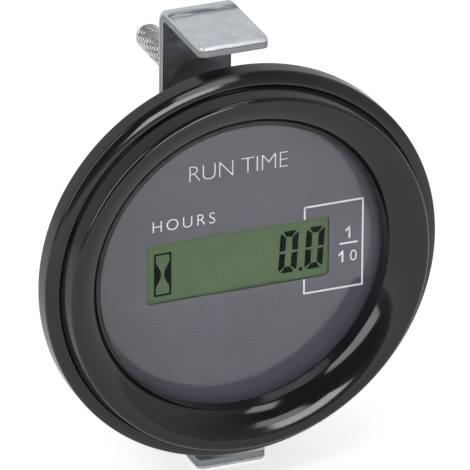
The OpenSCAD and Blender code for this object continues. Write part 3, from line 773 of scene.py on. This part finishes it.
# Clamp bracket
# A strip of sheet steel, sheared, punched and folded to a U, whose legs press on the panel from behind.
# It is zinc plated: cloudy blue grey on its faces, with rolled and torn bands on its sheared edges.
bracket_low, bracket_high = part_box("clamp_bracket")
strip_w, strip_t = bracket_high.x - bracket_low.x, 1.7 * mm
bend_r, leg_corner = 1.0 * mm, 1.0 * mm
plate_y = bracket_high.y - strip_t
leg_in = bracket_high.z - strip_t
bend_y, bend_z = plate_y - bend_r, leg_in - bend_r
bend_mid = bend_r + strip_t / 2
bend_run = bend_mid * pi / 2
leg_run = bend_y - bracket_low.y
half_blank = bend_z + bend_run + leg_run
hole_gap, hole_steps = 0.3 * mm, 48
stud_hole_r = stud_r + hole_gap
roll_over, burr = 0.5 * mm, 0.05 * mm
blank_loops = [rounded_rectangle(2 * half_blank, strip_w, leg_corner)]
for side in (-1, 1):
    blank_loops.append([(side * stud_z + x, y) for x, y in circle(stud_hole_r, hole_steps)][::-1])
sheared = ((1, 0), (0.6, 0.08), (0.3, 0.3), (0.08, 0.62), (0, 1))
blank_levels = [(0, burr), (burr, 0)] + rolled_edge(strip_t, roll_over, sheared)
blank = plate(blank_loops, blank_levels)
bend_steps, plate_cuts, leg_cuts = 10, 4, 3
cuts = [bend_z + bend_run * i / bend_steps for i in range(bend_steps + 1)]
cuts += [bend_z * i / plate_cuts for i in range(plate_cuts)]
cuts += [half_blank - leg_run * i / leg_cuts for i in range(1, leg_cuts)]
edge_tilt = 0.35
for cut in cuts + [-cut for cut in cuts if cut]:
    bmesh.ops.bisect_plane(blank, geom=blank.verts[:] + blank.edges[:] + blank.faces[:], dist=1e-7,
                           plane_co=(cut, 0, 0), plane_no=(1, 0, 0))
blank.normal_update()
for polygon in blank.faces:
    polygon.material_index = 1 if abs(polygon.normal.z) < edge_tilt else 0
blank_mesh = bpy.data.meshes.new("blank")
blank.to_mesh(blank_mesh)
blank.free()
# The flat blank is folded: each point keeps its place on the blank as an attribute, for the patterns
flat = [tuple(v.co) for v in blank_mesh.vertices]
drawn = blank_mesh.attributes.new("blank", "FLOAT_VECTOR", "POINT")
for i, (s, x, t) in enumerate(flat):
    drawn.data[i].vector = (s, x, t)
    way, side = abs(s), copysign(1, s)
    if way <= bend_z:
        y, z = plate_y + t, way
    elif way <= bend_z + bend_run:
        turn = (way - bend_z) / bend_mid
        y, z = bend_y + (bend_r + t) * cos(turn), bend_z + (bend_r + t) * sin(turn)
    else:
        y, z = bend_y - (way - bend_z - bend_run), leg_in + t
    blank_mesh.vertices[i].co = (x, y, side * z)

# Zinc plated sheet: a cloudy blue grey, faintly drawn out across the strip.
zinc_face, tree, shader, spot = new_material("zinc_plated_steel_sheet")
on_blank = add(tree, "ShaderNodeAttribute", attribute_name="blank").outputs["Vector"]
cloud = add(tree, "ShaderNodeTexNoise", {"Vector": on_blank, "Scale": 1 / (2.6 * mm), "Detail": 5.0,
                                         "Roughness": 0.6})
drag = add(tree, "ShaderNodeMapping", {"Vector": on_blank, "Scale": (1, 0.15, 1)})
streak = add(tree, "ShaderNodeTexNoise", {"Vector": drag, "Scale": 1 / (0.25 * mm), "Detail": 4.0})
mixed = add(tree, "ShaderNodeMath", {0: cloud, 1: streak}, operation="ADD")
spread = add(tree, "ShaderNodeMapRange", {"Value": mixed, "From Min": 0.75, "From Max": 1.25})
tint = add(tree, "ShaderNodeMix", {"Factor": spread, 6: "#d0d7de", 7: "#eaf0f4"}, data_type="RGBA")
# The press left dark scuffs across the strip where it held the leg beside the bend
ways = add(tree, "ShaderNodeSeparateXYZ", {0: on_blank})
from_middle = add(tree, "ShaderNodeMath", {0: ways.outputs["X"]}, operation="ABSOLUTE")
scuff_at, scuff_w = bend_z + bend_run + 1.7 * mm, 1.6 * mm
off_scuff = add(tree, "ShaderNodeMath", {0: from_middle, 1: scuff_at}, operation="SUBTRACT")
off_scuff = add(tree, "ShaderNodeMath", {0: off_scuff}, operation="ABSOLUTE")
band = add(tree, "ShaderNodeMapRange", {"Value": off_scuff, "From Min": 0.2 * mm, "From Max": scuff_w,
                                        "To Min": 1.0, "To Max": 0.0})
rub = add(tree, "ShaderNodeMapping", {"Vector": on_blank, "Scale": (1, 0.2, 1)})
rubbed = add(tree, "ShaderNodeTexNoise", {"Vector": rub, "Scale": 1 / (0.7 * mm), "Detail": 4.0})
torn = add(tree, "ShaderNodeMapRange", {"Value": rubbed, "From Min": 0.36, "From Max": 0.56})
scuff = add(tree, "ShaderNodeMath", {0: band, 1: torn}, operation="MULTIPLY")
worn = add(tree, "ShaderNodeMix", {"Factor": scuff, 6: tint, 7: "#70767b"}, data_type="RGBA")
dull = add(tree, "ShaderNodeMapRange", {"Value": mixed, "From Min": 0.7, "From Max": 1.3,
                                        "To Min": 0.3, "To Max": 0.48})
skin = add(tree, "ShaderNodeBump", {"Strength": 0.2, "Distance": 0.02 * mm, "Height": mixed})
feed(shader, {"Base Color": worn, "Roughness": dull, "Normal": skin, "Metallic": 1.0})

# Sheared edge: a smooth bright band where the blade cut, a dark jagged line and a dull band where it tore.
zinc_edge, tree, shader, spot = new_material("zinc_plated_sheared_edge")
on_blank = add(tree, "ShaderNodeAttribute", attribute_name="blank").outputs["Vector"]
ways = add(tree, "ShaderNodeSeparateXYZ", {0: on_blank})
jag = add(tree, "ShaderNodeTexNoise", {"Vector": spot, "Scale": 1 / (0.45 * mm), "Detail": 4.0, "Roughness": 0.7})
jag_shift = add(tree, "ShaderNodeMapRange", {"Value": jag, "To Min": -0.25 * mm, "To Max": 0.25 * mm})
level = add(tree, "ShaderNodeMath", {0: ways.outputs["Z"], 1: jag_shift}, operation="ADD")
tear_at = 0.95 * mm
rolled_band = add(tree, "ShaderNodeMapRange", {"Value": level, "From Min": tear_at, "From Max": tear_at + 0.06 * mm})
tint = add(tree, "ShaderNodeMix", {"Factor": rolled_band, 6: "#9da1a5", 7: "#ced2d5"}, data_type="RGBA")
off_tear = add(tree, "ShaderNodeMath", {0: level, 1: tear_at}, operation="SUBTRACT")
off_tear = add(tree, "ShaderNodeMath", {0: off_tear}, operation="ABSOLUTE")
tear = add(tree, "ShaderNodeMapRange", {"Value": off_tear, "From Min": 0.02 * mm, "From Max": 0.1 * mm,
                                        "To Min": 0.8, "To Max": 0.0})
torn = add(tree, "ShaderNodeMix", {"Factor": tear, 6: tint, 7: "#62666a"}, data_type="RGBA")
crumb = add(tree, "ShaderNodeMath", {0: rolled_band, 1: jag}, operation="ADD")
skin = add(tree, "ShaderNodeBump", {"Strength": 0.5, "Distance": 0.05 * mm, "Height": crumb})
dull = add(tree, "ShaderNodeMapRange", {"Value": rolled_band, "To Min": 0.6, "To Max": 0.42})
feed(shader, {"Base Color": torn, "Roughness": dull, "Normal": skin, "Metallic": 1.0})
piece("folded_bracket", blank_mesh, [zinc_face, zinc_edge], "bracket", ["clamp_bracket"], sharp=28)

# Lock washers
# Split spring rings under the nuts, wound from square wire and flattened when the nuts are tight.
# They are zinc plated; their cut ends bite into nut and plate.
washer_low, washer_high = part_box("lock_washers")
washer_r = washer_high.x
washer_gap, washer_split, washer_round, washer_steps = 0.15 * mm, 0.7 * mm, 0.1 * mm, 64
washer_bore_r = stud_r + washer_gap
washer_t = washer_high.y - washer_low.y
washer_section = [((washer_r + washer_bore_r) / 2 + x, -(washer_low.y + washer_t / 2 + z))
                  for x, z in rounded_rectangle(washer_r - washer_bore_r, washer_t, washer_round, 2)]
washers_shape = bmesh.new()
split_turn = washer_split / washer_r
for side in (-1, 1):
    rings = []
    for step in range(washer_steps + 1):
        turn = split_turn / 2 + (2 * pi - split_turn) * step / washer_steps
        rings.append(turned(washers_shape, washer_section, turn, side * stud_z))
    bridge(washers_shape, rings)
    washers_shape.faces.new(rings[0])
    washers_shape.faces.new(rings[-1])
piece("spring_washers", closed_mesh(washers_shape), [zinc_bright], "bracket", ["lock_washers"])

# Nuts
# Hexagon nuts that draw the bracket up, each turning on its own stud.
# They are cold formed steel with bright zinc, with a chamfer that leaves a curved edge on each flat.
nut_flats, nut_face_share, chamfer_slope = 7.0 * mm, 0.95, tan(radians(30))
nut_around, nut_gap, nut_mouth = 96, 0.05 * mm, 0.25 * mm
nut_bore_r = stud_r + nut_gap


def hexagon_nut(name):
    """A nut on its CAD node's place, with flats to the left and right."""
    low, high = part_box(name)
    height, centre_z = high.y - low.y, (low.z + high.z) / 2
    shape = bmesh.new()
    rings = []
    for step in range(nut_around):
        turn = 2 * pi * step / nut_around
        off_flat = (turn + pi / 6) % (pi / 3) - pi / 6
        reach = nut_flats / 2 / cos(off_flat)
        rim = nut_face_share * nut_flats / 2
        drop = (reach - rim) * chamfer_slope
        section = [(nut_bore_r, nut_mouth), (nut_bore_r + nut_mouth, 0), (rim, 0), (reach, drop),
                   (reach, height - drop), (rim, height), (nut_bore_r + nut_mouth, height),
                   (nut_bore_r, height - nut_mouth)]
        rings.append(turned(shape, [(r, -(low.y + h)) for r, h in section], turn, centre_z))
    bridge(shape, rings + rings[:1])
    return closed_mesh(shape)


for name in ("upper_nut", "lower_nut"):
    piece(name + "_hexagon", hexagon_nut(name), [zinc_bright], name, [name], sharp=20)
dress(zinc_bright, "board_screws")

# Floor
# A pale seamless table that the bracket's lower leg stands on, seen as white, with a faint shadow.
# Paper: matt, without grain at this size. It is lifted to white for the camera, and a little for gloss and glass.
floor_size, white_lift, mirror_lift = 4.0, 0.55, 0.3
floor_mesh = bpy.data.meshes.new("floor")
corner = floor_size / 2
floor_z = cad_low.z
floor_mesh.from_pydata([(-corner, -corner, floor_z), (corner, -corner, floor_z), (corner, corner, floor_z),
                        (-corner, corner, floor_z)], [], [(0, 1, 2, 3)])
floor = in_scene("floor", floor_mesh)
paper = mottled_material("white_paper_sweep", 40 * mm, 2.0, "#ececec", "#f2f2f2", roughness=0.9, specular=0.0)
tree = paper.node_tree
path = add(tree, "ShaderNodeLightPath")
relayed = add(tree, "ShaderNodeMath", {0: path.outputs["Is Glossy Ray"], 1: path.outputs["Is Transmission Ray"]},
              operation="MAXIMUM")
mirrored = add(tree, "ShaderNodeMath", {0: relayed, 1: mirror_lift}, operation="MULTIPLY")
lift = add(tree, "ShaderNodeMath", {0: path.outputs["Is Camera Ray"], 1: white_lift, 2: mirrored},
           operation="MULTIPLY_ADD")
feed(tree.nodes["Principled BSDF"], {"Emission Color": "#ffffff", "Emission Strength": lift})
floor_mesh.materials.append(paper)

# Light
# A white room that is dark on the camera's side, with a tall soft box at the camera's left, two smaller ones
# in front and one overhead. Each stands where the bezel's gloss shows its highlight.
world = bpy.data.worlds.new("white_room")
bpy.context.scene.world = world
world.use_nodes = True
tree = world.node_tree
path = add(tree, "ShaderNodeLightPath")
dark_side, room_level, dark_level = Vector((-0.35, -0.61, 0.71)), 0.65, 0.14
way = add(tree, "ShaderNodeTexCoord").outputs["Generated"]
towards_dark = add(tree, "ShaderNodeVectorMath", {0: way, 1: dark_side}, operation="DOT_PRODUCT")
room = add(tree, "ShaderNodeMapRange", {"Value": towards_dark, "From Min": 0.3, "From Max": 0.85,
                                        "To Min": room_level, "To Max": dark_level})
# The camera itself sees plain white behind the meter
level = add(tree, "ShaderNodeMapRange", {"Value": path.outputs["Is Camera Ray"], "To Min": room, "To Max": 1.0})
feed(tree.nodes["Background"], {"Color": "#ffffff", "Strength": level})

lamp_distance = 0.7


def towards(azimuth, elevation):
    """The direction from the meter to a place round it, in degrees. Azimuth 0 is in front, positive to the right."""
    a, e = radians(azimuth), radians(elevation)
    return Vector((sin(a) * cos(e), -cos(a) * cos(e), sin(e)))


def soft_box(name, azimuth, elevation, width, height, watts):
    """A rectangular lamp that faces the meter."""
    lamp = bpy.data.lights.new(name, "AREA")
    lamp.shape, lamp.size, lamp.size_y, lamp.energy = "RECTANGLE", width, height, watts
    made = in_scene(name, lamp)
    back = towards(azimuth, elevation)
    made.location = back * lamp_distance
    made.rotation_euler = back.to_track_quat("Z", "Y").to_euler()


soft_box("left_soft_box", azimuth=-65, elevation=31, width=0.26, height=0.56, watts=1.7)
soft_box("front_soft_box", azimuth=4, elevation=14, width=0.26, height=0.17, watts=1.0)
soft_box("upper_soft_box", azimuth=10, elevation=28, width=0.22, height=0.16, watts=0.35)
soft_box("overhead_soft_box", azimuth=28, elevation=66, width=0.2, height=0.16, watts=0.4)

# Camera
# A long lens, so that the meter is drawn almost without perspective, at the photograph's angle.
view_azimuth, view_elevation, view_roll = -22.22, 25.39, radians(0.38)
distance, field, sensor, far_end = 1.5, 67.3 * mm, 36.0, 20.0
# The picture's centre lies to the left of the dial's middle and above it
aim_depth, aim_left, aim_up = 2.12 * mm, 0.73 * mm, 4.0 * mm
back = towards(view_azimuth, view_elevation)
level_right = Vector((cos(radians(view_azimuth)), sin(radians(view_azimuth)), 0))
level_up = back.cross(level_right)
right = level_right * cos(view_roll) + level_up * sin(view_roll)
up = level_up * cos(view_roll) - level_right * sin(view_roll)
target = Vector((0, -aim_depth, 0)) - right * aim_left + up * aim_up
camera = in_scene("camera", bpy.data.cameras.new("camera"))
camera.matrix_world = Matrix.Translation(target + back * distance) @ Matrix((right, up, back)).transposed().to_4x4()
camera.data.sensor_width = sensor
camera.data.lens = sensor * distance / field
camera.data.clip_end = far_end
bpy.context.scene.camera = camera
bpy.context.scene.view_settings.view_transform = "Standard"
